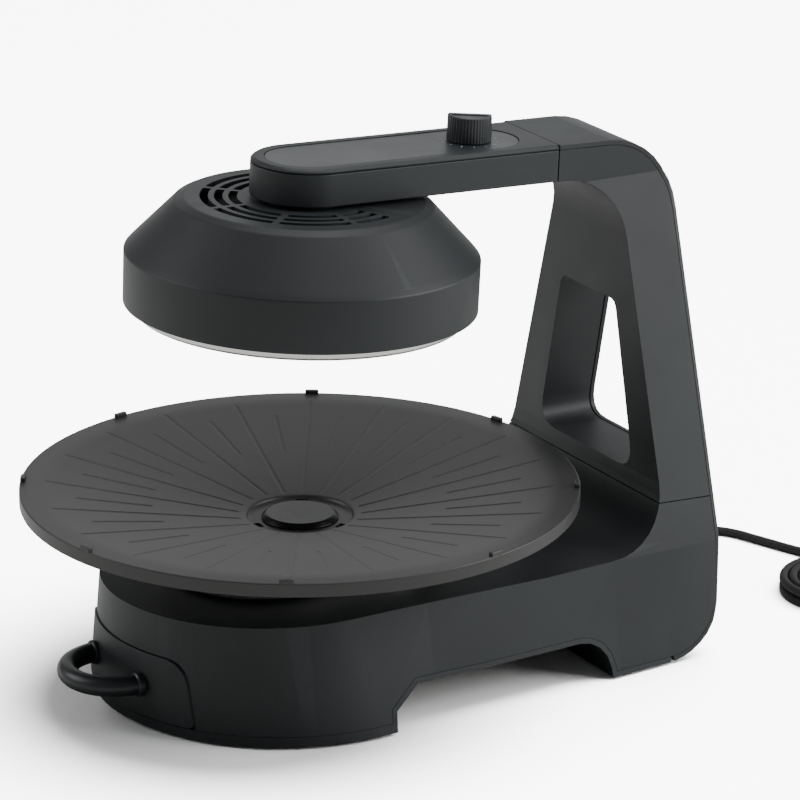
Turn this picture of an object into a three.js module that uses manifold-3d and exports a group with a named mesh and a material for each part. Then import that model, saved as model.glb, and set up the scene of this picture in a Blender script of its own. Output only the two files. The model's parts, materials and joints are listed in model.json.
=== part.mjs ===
// Far-infrared table grill: a round rotating grill plate on a base with a grease drawer, and an
// infrared heater head held over the plate by a column and an arm.
// Millimetres, +Z up. The drawer is at the front, toward -Y, and the column is at the back.
// Sizes are given about the plate's axis of rotation, and CENTRE_SHIFT moves the whole object so that
// its origin is the middle of its footprint on the table.

import * as THREE from 'three';
import { mergeVertices } from 'three/addons/utils/BufferGeometryUtils.js';
import Module from 'manifold-3d';

const wasm = await Module();
wasm.setup();

// ---- Driving dimensions -------------------------------------------------------------------------

const GAP = 0.3; // clearance between pieces that touch
const SEAM = 0.6; // width of a visible shut line
const WALL = 2.8; // moulded casing wall

// Casing, side view
const BACK_Y = 257.5;
const FACE_Y = 216.5; // front face of the column
const DECK_Z = 77.3; // top of the base
const PAN_Z = 2; // underside of the base, above its rubber feet
const HEEL_R = 42; // lower back corner
const CROWN_R = 50; // upper back corner
const ELBOW_R = 40; // inside corner between arm and column
const SWEEP_R = 42; // inside corner between base and column
const BAND = 3.2; // thickness of the back cover

// Casing, front view and plan
const FOOT_NOSE = { radius: 125, centre: -12 };
const DECK_NOSE = { radius: 107.2, centre: -25 };
const FOOT_SIDE = [[122.5, 33], [117.2, 124], [114, 175], [110.5, 216]]; // x, y along the bottom edge
const DECK_SIDE = [[106, 33], [105.8, 124], [102, 175], [101.9, 216]]; // x, y along the deck edge
const TOP_HALF = 34.5; // half width where the column meets the arm
const TAPER_TOP_Z = 312.5; // the column narrows up to here
const JOINT_Z = 107; // height of the joint between base and column

// Arch under the base, side view
const ARCH_FRONT = 2;
const ARCH_BACK = 168;
const ARCH_TOP = 29.3;
const ARCH_CORNER_R = 24;
const LIP_Z = 8; // top of the pan's visible rim round the front
const PAN_T = 3.4;

// Window through the column
const WINDOW = { bottom: 118.7, top: 228.7, bottomHalf: 58, topHalf: 32.5 };

// Arm, in its own frame: origin on the head's axis, X and Y as the object's, raised by ARM_RISE
const ARM_RISE = THREE.MathUtils.degToRad(2.5);
const ARM_ORIGIN = new THREE.Vector3(0, 3.4, 304.3);
const ARM_HALF = 35;
const ARM_LOW = 18.4;
const ARM_SPLIT = 39.3;
const ARM_TOP = 42.6;
const ARM_END = 166;
const INLAY = { half: 26, end: 152, depth: 0.8 };
const KNOB = { y: 119, radius: 14.5, height: 16.5, ribs: 44, flute: 0.35 };
const KNOB_FLAT = { offset: 2, drop: 5.6, turn: 60 }; // the cut that gives the crown its D shape

// Heater head, in the arm's frame
const HEAD = { shoulderR: 81.5, shoulderZ: 14.4, beltR: 113, beltZ: -18.2, mouthR: 112.7, mouthZ: -53.1 };
const HEAD_WALL = 2.4;
const VENT_RINGS = [[60.6, 66], [51.5, 56.9], [42.4, 47.8]];
const VENT_END = 63; // degrees from the arm's direction where the slots stop
const VENT_BRIDGE = 1.8; // degrees to each side of a bridge between two slots, at 60 mm radius
const RING = { radius: 104.5, bottom: -59.2 };
const HEATER_R = 72;

// Turntable and plate
const PLATE = { radius: 180, rimZ: 130.4, skirt: 8.9, hubR: 36.5, hubZ: 109.4, flatR: 165, thickness: 2.8 };
const TAB = { width: 9, height: 4, thick: 3.6, first: 13.7 };
const TABS = 8;
const WELL = { outer: 33.5, inner: 23, floor: 106.6, rise: 1.6 };
const NOTCH_TURN = 59.6; // degrees that the three drain notches are turned from the Y axis

// Drip bowl on the deck
const BOWL = { radius: 62, front: -29, back: 26, height: 13 };

// Drawer
const PANEL = { low: 8.8, high: 50.5, lowHalf: 70.5, highHalf: 61 };
const PANEL_PROUD = 1.2;
const TRAY = { half: 54, front: -134, back: -6, low: 9.2, high: 36, wall: 1.8 };
const HANDLE = { radius: 31, tube: 6.5, z: 29, y: -132.6 };

// Mains cord: the stretch that is not coiled, and the coil that takes up the rest of its 1.5 m
const CORD_R = 3;
const GLAND = { x: -72, z: 54 };
const CORD_ROUTE = [
  [-72, 292, 54], [-72, 304, 53], [-72.5, 315, 48], [-73.5, 324, 39.5], [-75, 331.5, 29],
  [-77, 339, 18.5], [-79.5, 347.5, 9.5], [-81.5, 357, 4.6], [-81, 367, 3.1], [-76, 377, 3.1],
  [-66, 384.5, 3.1], [-52, 390, 3.1], [-38, 395, 3.1], [-24, 400, 3.1], [-10, 405.5, 3.1],
  [4, 411.3, 3.1], [16.4, 416.8, 3.1],
];
const COIL = { x: 59, y: 392, inner: 26.5, outer: 46, height: 12.6 };
const CORD_LEAD = [
  [83.5, 434.8, 9], [89, 434.8, 8.2], [95, 434.8, 7.5], [101, 434.8, 7.5], [107, 434.8, 8.2],
  [113.3, 434.8, 8.5],
];
const PLUG = { x: 133, y: 434.8, length: 38, width: 25, thick: 17 };

const CENTRE_SHIFT = -(BACK_Y - PLATE.radius) / 2;

// ---- Finishes -----------------------------------------------------------------------------------

const finish = (color, roughness, metalness = 0) =>
  new THREE.MeshStandardMaterial({ color, roughness, metalness });

const casingBlack = finish(0x2b2f31, 0.55);
const panelBlack = finish(0x232628, 0.4);
const plateBlack = finish(0x232728, 0.6, 0.2);
const rubberBlack = finish(0x191919, 0.85);
const stainless = finish(0xc9cac8, 0.22, 1);
const zincPlate = finish(0xa9abad, 0.4, 1);
const ceramic = finish(0xe6e1d6, 0.6);
const heaterRed = finish(0x8a4a32, 0.35);
const brass = finish(0xc8a558, 0.3, 1);

// ---- Solids -------------------------------------------------------------------------------------

const deg = THREE.MathUtils.degToRad;

function solidOf(geometry) {
  const bare = geometry.clone();
  bare.deleteAttribute('normal');
  bare.deleteAttribute('uv');
  const merged = mergeVertices(bare, 1e-4);
  return new wasm.Manifold(new wasm.Mesh({
    numProp: 3,
    vertProperties: new Float32Array(merged.attributes.position.array),
    triVerts: new Uint32Array(merged.index.array),
  }));
}

function geometryOf(solid) {
  const mesh = solid.getMesh();
  const geometry = new THREE.BufferGeometry();
  geometry.setAttribute('position', new THREE.BufferAttribute(mesh.vertProperties, 3));
  geometry.setIndex(new THREE.BufferAttribute(mesh.triVerts, 1));
  geometry.computeVertexNormals();
  return geometry;
}

const join = (...solids) => solids.reduce((all, next) => all.add(next));
const cut = (solid, ...cutters) => cutters.reduce((left, next) => left.subtract(next), solid);

function box(x0, x1, y0, y1, z0, z1) {
  const geometry = new THREE.BoxGeometry(x1 - x0, y1 - y0, z1 - z0);
  geometry.translate((x0 + x1) / 2, (y0 + y1) / 2, (z0 + z1) / 2);
  return solidOf(geometry);
}

// A solid of revolution about Z from a closed profile of [radius, height] points.
function turned(profile, segments = 48) {
  const points = profile.map(([radius, height]) => new THREE.Vector2(radius, height));
  if (THREE.ShapeUtils.area(points) < 0) points.reverse();
  if (points[0].x > 0) points.push(points[0].clone());
  const geometry = new THREE.LatheGeometry(points, segments);
  geometry.rotateX(Math.PI / 2);
  return solidOf(geometry);
}

// A round bar along Z.
const bar = (x, y, z0, z1, radius, sides = 20) =>
  turned([[0, z0], [radius, z0], [radius, z1], [0, z1]], sides).translate([x, y, 0]);

// A prism from an outline, standing along the named axis from `from` to `to`.
function prism(axis, outline, from, to) {
  const shape = new THREE.Shape(outline.map(([u, v]) => new THREE.Vector2(u, v)));
  const geometry = new THREE.ExtrudeGeometry(shape, { depth: to - from, bevelEnabled: false });
  const basis = new THREE.Matrix4();
  const X = new THREE.Vector3(1, 0, 0);
  const Y = new THREE.Vector3(0, 1, 0);
  const Z = new THREE.Vector3(0, 0, 1);
  if (axis === 'x') basis.makeBasis(Y, Z, X).setPosition(from, 0, 0);
  if (axis === 'y') basis.makeBasis(X, Z, Y.clone().negate()).setPosition(0, to, 0);
  if (axis === 'z') basis.setPosition(0, 0, from);
  geometry.applyMatrix4(basis);
  return solidOf(geometry);
}

// A solid skinned over level outlines of equal point count.
function loft(levels) {
  const count = levels[0].outline.length;
  const positions = levels.flatMap(({ z, outline }) => outline.flatMap(([x, y]) => [x, y, z]));
  const index = [];
  for (let level = 0; level + 1 < levels.length; level += 1) {
    for (let i = 0; i < count; i += 1) {
      const a = level * count + i;
      const b = level * count + ((i + 1) % count);
      index.push(a, b, b + count, a, b + count, a + count);
    }
  }
  const cap = (level, flip) => {
    const outline = levels[level].outline.map(([x, y]) => new THREE.Vector2(x, y));
    for (const [a, b, c] of THREE.ShapeUtils.triangulateShape(outline, [])) {
      const base = level * count;
      index.push(base + a, base + (flip ? c : b), base + (flip ? b : c));
    }
  };
  cap(0, true);
  cap(levels.length - 1, false);
  const geometry = new THREE.BufferGeometry();
  geometry.setAttribute('position', new THREE.Float32BufferAttribute(positions, 3));
  geometry.setIndex(index);
  return solidOf(geometry);
}

// Points of an arc, in degrees.
function arc(cx, cy, radius, from, to, steps) {
  return Array.from({ length: steps + 1 }, (_, i) => {
    const angle = deg(from + ((to - from) * i) / steps);
    return [cx + radius * Math.cos(angle), cy + radius * Math.sin(angle)];
  });
}

// Moves a path to its left by a distance, keeping its corners mitred.
function offset(path, distance, closed = false) {
  const count = path.length;
  const edge = (i, j) => new THREE.Vector2(path[j][0] - path[i][0], path[j][1] - path[i][1]).normalize();
  return path.map(([u, v], i) => {
    const before = closed || i > 0 ? edge((i + count - 1) % count, i) : edge(i, i + 1);
    const after = closed || i < count - 1 ? edge(i, (i + 1) % count) : before;
    const spread = distance / (1 + before.dot(after));
    return [u - (before.y + after.y) * spread, v + (before.x + after.x) * spread];
  });
}

// A polygon with every corner rounded: corners are [u, v, radius].
function rounded(corners, steps = 5) {
  return corners.flatMap(([u, v, radius], i) => {
    const here = new THREE.Vector2(u, v);
    const toward = (j) => {
      const [pu, pv] = corners[(j + corners.length) % corners.length];
      return new THREE.Vector2(pu, pv).sub(here).normalize();
    };
    const [before, after] = [toward(i - 1), toward(i + 1)];
    const half = Math.acos(before.dot(after)) / 2;
    const reach = radius / Math.tan(half);
    const start = here.clone().addScaledVector(before, reach);
    const end = here.clone().addScaledVector(after, reach);
    return Array.from({ length: steps + 1 }, (_, k) => {
      const t = k / steps;
      const bend = new THREE.QuadraticBezierCurve(start, here, end).getPoint(t);
      return [bend.x, bend.y];
    });
  });
}

// A tube along a smooth curve through points, with square ends.
function tube(points, radius, sides, steps) {
  const curve = new THREE.CatmullRomCurve3(points.map((p) => new THREE.Vector3(...p)), false, 'centripetal');
  const section = new THREE.Shape(arc(0, 0, radius, 0, 360 - 360 / sides, sides - 1)
    .map(([u, v]) => new THREE.Vector2(u, v)));
  return solidOf(new THREE.ExtrudeGeometry(section, { steps, extrudePath: curve }));
}

// ---- Frames and groups --------------------------------------------------------------------------

const grill = new THREE.Group();
grill.position.y = CENTRE_SHIFT;
const arm = new THREE.Group();
arm.position.copy(ARM_ORIGIN);
arm.rotation.x = -ARM_RISE;
grill.add(arm);

function place(name, solid, material, group = grill) {
  const mesh = new THREE.Mesh(geometryOf(solid), material);
  mesh.name = name;
  group.add(mesh);
}

// A point of the arm's frame, seen from the side, as [y, z] of the object's frame.
const fromArm = (y, z) => [
  ARM_ORIGIN.y + y * Math.cos(ARM_RISE) + z * Math.sin(ARM_RISE),
  ARM_ORIGIN.z - y * Math.sin(ARM_RISE) + z * Math.cos(ARM_RISE),
];

// Moves a solid made in the arm's frame to the object's.
function raised(solid) {
  const toObject = new THREE.Matrix4().makeRotationX(-ARM_RISE).setPosition(ARM_ORIGIN);
  return solid.transform(toObject.elements);
}

// ---- Casing outlines ----------------------------------------------------------------------------

const riseDeg = THREE.MathUtils.radToDeg(ARM_RISE);
const lineZ = (start, y) => start[1] - Math.tan(ARM_RISE) * (y - start[0]);

// Up the back and over the top, from the heel to the arm.
function backPath() {
  const seam = fromArm(ARM_END, ARM_TOP);
  const crownY = BACK_Y - CROWN_R;
  const crownZ = lineZ(seam, crownY) - CROWN_R / Math.cos(ARM_RISE);
  return [
    ...arc(BACK_Y - HEEL_R, PAN_Z + HEEL_R, HEEL_R, -86, 0, 8),
    ...arc(crownY, crownZ, CROWN_R, 0, 90 - riseDeg, 8),
    fromArm(ARM_END - 12, ARM_TOP),
  ];
}

// Under the arm, down the column's face and forward along the deck.
function facePath() {
  const seam = fromArm(ARM_END, ARM_LOW);
  const elbowY = FACE_Y - ELBOW_R;
  const elbowZ = lineZ(seam, elbowY) - ELBOW_R / Math.cos(ARM_RISE);
  return [
    fromArm(ARM_END - 12, ARM_LOW),
    ...arc(elbowY, elbowZ, ELBOW_R, 90 - riseDeg, 0, 8),
    ...arc(FACE_Y - SWEEP_R, DECK_Z + SWEEP_R, SWEEP_R, 0, -90, 8),
    [-150, DECK_Z],
  ];
}

// Along the underside from front to back, over the arch between the two feet.
function underPath() {
  return [
    [-150, PAN_Z],
    [ARCH_FRONT, PAN_Z],
    [ARCH_FRONT + 0.8, 15],
    [20, ARCH_TOP],
    ...arc(ARCH_BACK - ARCH_CORNER_R, ARCH_TOP - ARCH_CORNER_R, ARCH_CORNER_R, 90, 8, 4),
    [ARCH_BACK + 0.6, PAN_Z],
    [BACK_Y - HEEL_R, PAN_Z],
  ];
}

// One level outline of the casing: a round nose, sides and rounded back corners.
function planOutline(nose, side, back, cornerR) {
  const right = [...side, [back, BACK_Y - cornerR]].slice(0, side.length);
  const corner = arc(back - cornerR, BACK_Y + 2 - cornerR, cornerR, 0, 90, 4);
  const mirror = (points) => points.map(([x, y]) => [-x, y]).reverse();
  return [
    ...arc(0, nose.centre, nose.radius, -180, 0, 40),
    ...right,
    ...corner,
    ...mirror(corner),
    ...mirror(right),
  ];
}

const halfAt = (z) => {
  const slope = (101.9 - TOP_HALF) / (TAPER_TOP_Z - DECK_Z);
  return z > TAPER_TOP_Z ? TOP_HALF : TOP_HALF + (TAPER_TOP_Z - z) * slope;
};

// The casing's outer form in plan and front view, drawn in by `inward`.
function casingForm(inward = 0) {
  const straight = (z) => {
    const half = halfAt(z);
    const side = DECK_SIDE.map(([, y]) => [half, y]);
    return planOutline({ radius: half, centre: DECK_NOSE.centre }, side, half, 5);
  };
  const levels = [
    { z: 0, outline: planOutline(FOOT_NOSE, FOOT_SIDE, 108.5, 16) },
    { z: DECK_Z, outline: planOutline(DECK_NOSE, DECK_SIDE, 101.9, 6) },
    { z: DECK_Z + 6, outline: straight(DECK_Z + 6) },
    { z: TAPER_TOP_Z, outline: straight(TAPER_TOP_Z) },
    { z: 360, outline: straight(360) },
  ];
  return loft(levels.map(({ z, outline }) => ({ z, outline: offset(outline, inward, true) })));
}

// The round nose alone, drawn in by `inward`.
const noseForm = (inward) => loft([
  { z: 0, outline: arc(0, FOOT_NOSE.centre, FOOT_NOSE.radius - inward, 0, 354, 59) },
  { z: DECK_Z, outline: arc(0, DECK_NOSE.centre, DECK_NOSE.radius - inward, 0, 354, 59) },
]);

const outerForm = casingForm();
const innerForm = casingForm(WALL);

// Side-view slab of the casing between the under path and the back path, each moved inward.
function sideSlab(face, under, back) {
  const outline = [
    ...offset(underPath(), under),
    ...offset(backPath(), back),
    ...offset(facePath(), face),
  ];
  return prism('x', outline, -140, 140);
}

// Everything below (or above) the joint between base and column.
const belowJoint = prism('x', [
  [-200, -50], [300, -50], [300, JOINT_Z - 3.6], [-200, JOINT_Z + 16.2],
], -150, 150);
const aboveJoint = prism('x', [
  [-200, JOINT_Z + 16.2 + SEAM], [300, JOINT_Z - 3.6 + SEAM], [300, 450], [-200, 450],
], -150, 150);
const behindArm = raised(box(-140, 140, ARM_END + SEAM, 400, -400, 200));

const windowHole = (grow) => prism('y', rounded([
  [-WINDOW.bottomHalf - grow, WINDOW.bottom - grow, 15],
  [WINDOW.bottomHalf + grow, WINDOW.bottom - grow, 15],
  [WINDOW.topHalf + grow, WINDOW.top + grow, 8],
  [-WINDOW.topHalf - grow, WINDOW.top + grow, 8],
]), 190, 280);

// ---- Base and column casing ---------------------------------------------------------------------

const bandLine = BAND + GAP;
const casing = outerForm.intersect(sideSlab(0, PAN_T + GAP, bandLine));
const hollow = innerForm.intersect(sideSlab(WALL, PAN_T - 2, -4))
  .subtract(windowHole(WALL));
const frontLip = box(-140, 140, -160, ARCH_FRONT + 8, 0, LIP_Z + GAP);
const shell = cut(casing, hollow, windowHole(0), frontLip);

const panelOutline = (grow) => rounded([
  [-PANEL.lowHalf - grow, PANEL.low - grow, 3],
  [PANEL.lowHalf + grow, PANEL.low - grow, 3],
  [PANEL.highHalf + grow, PANEL.high + grow, 17],
  [-PANEL.highHalf - grow, PANEL.high + grow, 17],
], 6);

const spindleHole = bar(0, 0, 60, 90, 9);
const screwBosses = [[-78, -60], [78, -60], [-84, 196], [84, 196]];

function base() {
  const drawerHole = prism('y', panelOutline(SEAM), -160, -70);
  const underLip = box(-PANEL.lowHalf, PANEL.lowHalf, -160, -70, 0, PANEL.low);
  const drainHole = bar(0, -50, 60, 90, 14);
  const solid = cut(shell.intersect(belowJoint), drawerHole, underLip, spindleHole, drainHole);
  place('base_shell', solid, casingBlack);
  place('column_shell', shell.intersect(aboveJoint).intersect(behindArm), casingBlack);
}

function backCover() {
  const outline = [
    ...offset(backPath(), 0),
    ...offset(backPath(), BAND).reverse(),
  ];
  const band = outerForm.intersect(prism('x', outline, -140, 140)).intersect(behindArm);
  const glandHole = prism('y', arc(GLAND.x, GLAND.z, 6.5, 0, 345, 23), 240, 270);
  place('back_cover', cut(band, windowHole(-0.5), glandHole), casingBlack);
}

function pan() {
  const under = underPath();
  const sheet = prism('x', [...under, ...offset(under, PAN_T).reverse()], -140, 140);
  const wall = outerForm.subtract(innerForm)
    .intersect(box(-140, 140, -160, ARCH_FRONT - PAN_T / 2, PAN_Z, LIP_Z));
  const solid = join(sheet.intersect(outerForm), wall);
  const holes = screwBosses.map(([x, y]) => bar(x, y, 0, 20, 2));
  place('base_pan', cut(solid, ...holes), casingBlack);
  screwBosses.forEach(([x, y], i) => {
    const head = bar(x, y, PAN_Z - 1.7, PAN_Z - GAP, 3.4, 12);
    place(`pan_screw_${i + 1}`, join(head, bar(x, y, PAN_Z - 1, PAN_Z + 9, 1.6, 12)), zincPlate);
  });
}

function feet() {
  const spots = [[-52, -108], [52, -108], [-92, 184], [92, 184]];
  spots.forEach(([x, y], i) => {
    const pad = turned([[0, 0], [8, 0], [9, 0.8], [9, PAN_Z - GAP], [0, PAN_Z - GAP]], 24);
    place(`foot_${i + 1}`, pad.translate([x, y, 0]), rubberBlack);
  });
}

function columnBracket() {
  const strap = (x) => box(x - 8, x + 8, FACE_Y + WALL + GAP, FACE_Y + WALL + GAP + 2.5, 84, 132);
  const bracket = join(strap(-72), strap(72), box(-72, 72, FACE_Y + WALL + GAP, FACE_Y + 5.6, 86, 98));
  place('column_bracket', bracket, zincPlate);
}

// ---- Drive, bowl and terminals ------------------------------------------------------------------

function drive() {
  const can = turned([[0, 46], [23, 46], [24.5, 47.5], [24.5, 66], [0, 66]], 32);
  const ears = box(-34, 34, -6, 6, 66 - 0.5, 68);
  const bore = bar(0, 0, 40, 80, 5, 20);
  place('motor', cut(join(can, ears), bore), zincPlate);
  [-29, 29].forEach((x, i) => {
    place(`motor_screw_${i + 1}`, bar(x, 0, 63.4, 65.5 - GAP, 3, 12), zincPlate);
  });
  place('terminal_block', box(-86, -50, 222, 236, 20, 34), ceramic);
}

function dripBowl() {
  const stadium = (radius) => [
    ...arc(0, BOWL.front, radius, 180, 360, 14),
    ...arc(0, BOWL.back, radius, 0, 180, 14),
  ];
  const floorZ = DECK_Z + GAP;
  const outer = loft([
    { z: floorZ, outline: stadium(BOWL.radius - 5) },
    { z: floorZ + 2, outline: stadium(BOWL.radius - 1) },
    { z: floorZ + BOWL.height - 1.2, outline: stadium(BOWL.radius + 1.5) },
    { z: floorZ + BOWL.height, outline: stadium(BOWL.radius + 4) },
    { z: floorZ + BOWL.height + 1.2, outline: stadium(BOWL.radius + 4) },
  ]);
  const inside = loft([
    { z: floorZ + 1.2, outline: stadium(BOWL.radius - 5.5) },
    { z: floorZ + 3, outline: stadium(BOWL.radius - 2.2) },
    { z: floorZ + BOWL.height + 2, outline: stadium(BOWL.radius + 0.4) },
  ]);
  const collar = cut(bar(0, 0, floorZ, floorZ + 10, 12), bar(0, 0, 60, 120, 10));
  const drain = bar(0, -50, 60, 90, 10);
  const spout = cut(bar(0, -50, DECK_Z - 8, floorZ + 0.6, 12), bar(0, -50, 50, 90, 10));
  const solid = join(cut(outer, inside, drain, bar(0, 0, 60, 120, 11)), collar, spout);
  place('drip_bowl', solid, stainless);
}

function turntable() {
  const spindle = turned([
    [0, 50], [4, 50], [4, 72], [6.5, 73], [6.5, 95.3], [5, 95.3], [5, 100.6], [0, 100.6],
  ], 24);
  place('spindle', spindle, zincPlate);
  const hub = turned([
    [5.3, 95.6], [6.9, 95.6], [6.9, 92.6], [16, 92.6], [16, 97.2], [13, 98.2], [13, 104.9], [5.3, 104.9],
  ], 32);
  const lugs = [0, 120, 240].map((turn) => box(-2, 2, 12, 17.5, 93.6, 97.2).rotate([0, 0, turn]));
  place('drive_hub', join(hub, ...lugs), casingBlack);
}

// ---- Grill plate --------------------------------------------------------------------------------

function grillPlate() {
  const { radius, rimZ, hubR, hubZ, flatR, thickness } = PLATE;
  const { outer, inner, floor, rise } = WELL;
  const skirtZ = rimZ - PLATE.skirt;
  const underWell = floor - thickness;
  const disc = turned([
    [0, floor + rise], [19.4, floor + rise], [20.8, floor + 0.4], [inner, floor],
    [outer - 1.5, floor], [outer, floor + 0.8], [outer + 1, hubZ - 0.6], [hubR, hubZ],
    [flatR, rimZ - 0.5], [radius - 0.6, rimZ], [radius, rimZ - 0.8],
    [radius, skirtZ], [radius - 2.4, skirtZ], [radius - 3, rimZ - thickness - 0.6],
    [flatR, rimZ - 0.5 - thickness], [hubR + 1, hubZ - thickness], [outer + 2.6, underWell],
    [18, underWell], [16.6, floor + rise - thickness], [0, floor + rise - thickness],
  ], 48);
  const tabs = Array.from({ length: TABS }, (_, i) => {
    const block = box(radius - TAB.thick, radius - 0.2, -TAB.width / 2, TAB.width / 2,
      rimZ - 2, rimZ + TAB.height);
    return block.rotate([0, 0, TAB.first + (360 / TABS) * i]);
  });
  const notches = [90, 210, 330].map((turn) =>
    box(outer - 5.5, outer - 0.6, -4.2, 4.2, 98, floor + 3)
      .rotate([0, 0, turn + NOTCH_TURN]));
  place('grill_plate', cut(join(disc, ...tabs), ...notches), plateBlack);
  const cap = turned([
    [0, floor + rise + GAP], [19.8, floor + rise + GAP], [21.4, floor + 0.5 + GAP],
    [24.6, floor + GAP], [25, floor + 1.2], [22.6, floor + 3.1], [21.6, floor + 3.7], [0, floor + 3.7],
  ], 48);
  place('plate_cap', cap, panelBlack);
}

// ---- Drawer -------------------------------------------------------------------------------------

function drawer() {
  const skin = casingForm(-PANEL_PROUD).subtract(casingForm(WALL - 0.4));
  const front = skin.intersect(prism('y', panelOutline(0), -160, -90));
  const roots = [-HANDLE.radius, HANDLE.radius].map((x) =>
    prism('y', arc(x, HANDLE.z, 2, 0, 330, 11), -170, -90));
  place('drawer_front', cut(front, ...roots), casingBlack);

  const { half, front: y0, back: y1, low, high, wall } = TRAY;
  const block = (inset, z0) => noseForm(WALL + 1.2 + inset)
    .intersect(box(-half + inset, half - inset, y0, y1 - inset, z0, high + inset));
  const tray = cut(block(0, low), block(wall, low + wall));
  const trayHoles = [-HANDLE.radius, HANDLE.radius].map((x) =>
    prism('y', arc(x, HANDLE.z, 2, 0, 330, 11), -170, -90));
  place('drawer_tray', cut(tray, ...trayHoles), casingBlack);

  const path = [];
  const { radius, z, y } = HANDLE;
  path.push([-radius, y + 0.4, z]);
  for (const [x, out] of arc(0, 0, radius, 180, 360, 18)) path.push([x, y - 1 + out, z]);
  path.push([radius, y + 0.4, z]);
  const collars = [-radius, radius].map((x) =>
    prism('y', arc(x, z, HANDLE.tube + 1.3, 0, 340, 17), y - 4.5, y - 1));
  place('drawer_handle', join(tube(path, HANDLE.tube, 12, 22), ...collars)
    .subtract(casingForm(-PANEL_PROUD - GAP)), casingBlack);
  [-radius, radius].forEach((x, i) => {
    const shank = prism('y', arc(x, z, 1.7, 0, 330, 11), -128.4, -119);
    const screw = join(shank, prism('y', arc(x, z, 3.4, 0, 330, 11), -120, -117.5));
    place(`handle_screw_${i + 1}`, screw, zincPlate);
  });
}

// ---- Arm ----------------------------------------------------------------------------------------

const armOutline = (inset, end, back = 0) => [
  ...arc(0, 0, ARM_HALF - inset, 180, 360, 28),
  [TOP_HALF - inset + back, end],
  [-TOP_HALF + inset - back, end],
];

function armCasing() {
  const lower = prism('z', armOutline(0, ARM_END), ARM_LOW, ARM_SPLIT);
  const room = prism('z', armOutline(WALL, ARM_END + 1), ARM_LOW + WALL, ARM_SPLIT + 1);
  const neckHole = bar(0, 0, 0, 40, 9);
  place('arm_lower_shell', cut(lower, room, neckHole), casingBlack, arm);

  const base3 = ARM_SPLIT + 0.4;
  const cover = loft([
    { z: base3, outline: armOutline(0.5, ARM_END) },
    { z: base3 + 0.9, outline: armOutline(0.1, ARM_END) },
    { z: ARM_TOP - 1, outline: armOutline(1, ARM_END) },
    { z: ARM_TOP, outline: armOutline(2.6, ARM_END) },
  ]);
  const stadium = (grow) => [
    ...arc(0, 0, INLAY.half + grow, 180, 360, 20),
    ...arc(0, INLAY.end - INLAY.half, INLAY.half + grow, 0, 180, 20),
  ];
  const pocket = prism('z', stadium(0.4), ARM_TOP - INLAY.depth - 0.5, ARM_TOP + 5);
  const shaftHole = bar(0, KNOB.y, 30, 50, 5);
  place('arm_top_cover', cut(cover, pocket, shaftHole), casingBlack, arm);
  const plate = prism('z', stadium(0), ARM_TOP - INLAY.depth - 0.2, ARM_TOP - 0.4);
  place('control_inlay', cut(plate, shaftHole), panelBlack, arm);

  const bracketZ = ARM_LOW + WALL + GAP;
  place('arm_bracket', box(-18, 18, 96, 202, bracketZ, bracketZ + 2.5), zincPlate, arm);
  const timer = box(-15, 15, KNOB.y - 15, KNOB.y + 15, 25.4, ARM_SPLIT - 0.4);
  place('timer_body', timer, ceramic, arm);
}

function knob() {
  const z0 = ARM_TOP + 0.3;
  const { radius, height, ribs, flute, y } = KNOB;
  const rim = Array.from({ length: ribs * 2 }, (_, i) => {
    const angle = (i * Math.PI) / ribs;
    const reach = i % 2 ? radius - flute : radius;
    return [reach * Math.cos(angle), reach * Math.sin(angle)];
  });
  const body = prism('z', rim, z0, z0 + height - 3);
  const crown = turned([
    [0, z0 + height - 3.2], [radius - 0.9, z0 + height - 3.2], [radius - 0.9, z0 + height - 0.6],
    [radius - 1.5, z0 + height], [0, z0 + height],
  ], 36);
  const beyond = radius + 5;
  const flat = box(-beyond, beyond, KNOB_FLAT.offset, beyond, z0 + height - KNOB_FLAT.drop,
    z0 + height + 2).rotate([0, 0, KNOB_FLAT.turn]);
  const socket = bar(0, 0, z0 - 1, z0 + height - 8, 3.3);
  place('knob', cut(join(body, crown), flat, socket).translate([0, y, 0]), panelBlack, arm);
  place('knob_shaft', bar(0, y, ARM_SPLIT, z0 + height - 8.4, 3, 16), zincPlate, arm);
}

// ---- Heater head --------------------------------------------------------------------------------

function ventSlot([inner, outer], from, to) {
  const steps = Math.max(3, Math.round((to - from) / 11));
  return prism('z', [
    ...arc(0, 0, outer, from, to, steps),
    ...arc(0, 0, inner, to, from, steps),
  ], -10, 40);
}

function headShell() {
  const { shoulderR, shoulderZ, beltR, beltZ, mouthR, mouthZ } = HEAD;
  const w = HEAD_WALL;
  const outer = turned([
    [0, shoulderZ + 1.2], [shoulderR - 8, shoulderZ + 1.2], [shoulderR - 2.5, shoulderZ + 0.6],
    [shoulderR + 0.6, shoulderZ - 1.6], [beltR - 3.4, beltZ + 2.7], [beltR - 0.8, beltZ - 0.6],
    [beltR, beltZ - 4.5], [mouthR, mouthZ], [mouthR - w, mouthZ], [beltR - w, beltZ - 5],
    [shoulderR - w, shoulderZ - w - 1.2], [0, shoulderZ - w + 1.2],
  ], 48);
  const slots = VENT_RINGS.flatMap((ring) => {
    const bridge = VENT_BRIDGE * (60 / ring[1]);
    const ends = [VENT_END, 90, 135, 180, 225, 270, 360 - VENT_END];
    return ends.slice(1).map((stop, i) => ventSlot(ring, 90 + ends[i] + bridge, 90 + stop - bridge));
  });
  place('head_shell', cut(outer, ...slots, bar(0, 0, 0, 40, 9)), casingBlack, arm);
}

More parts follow.
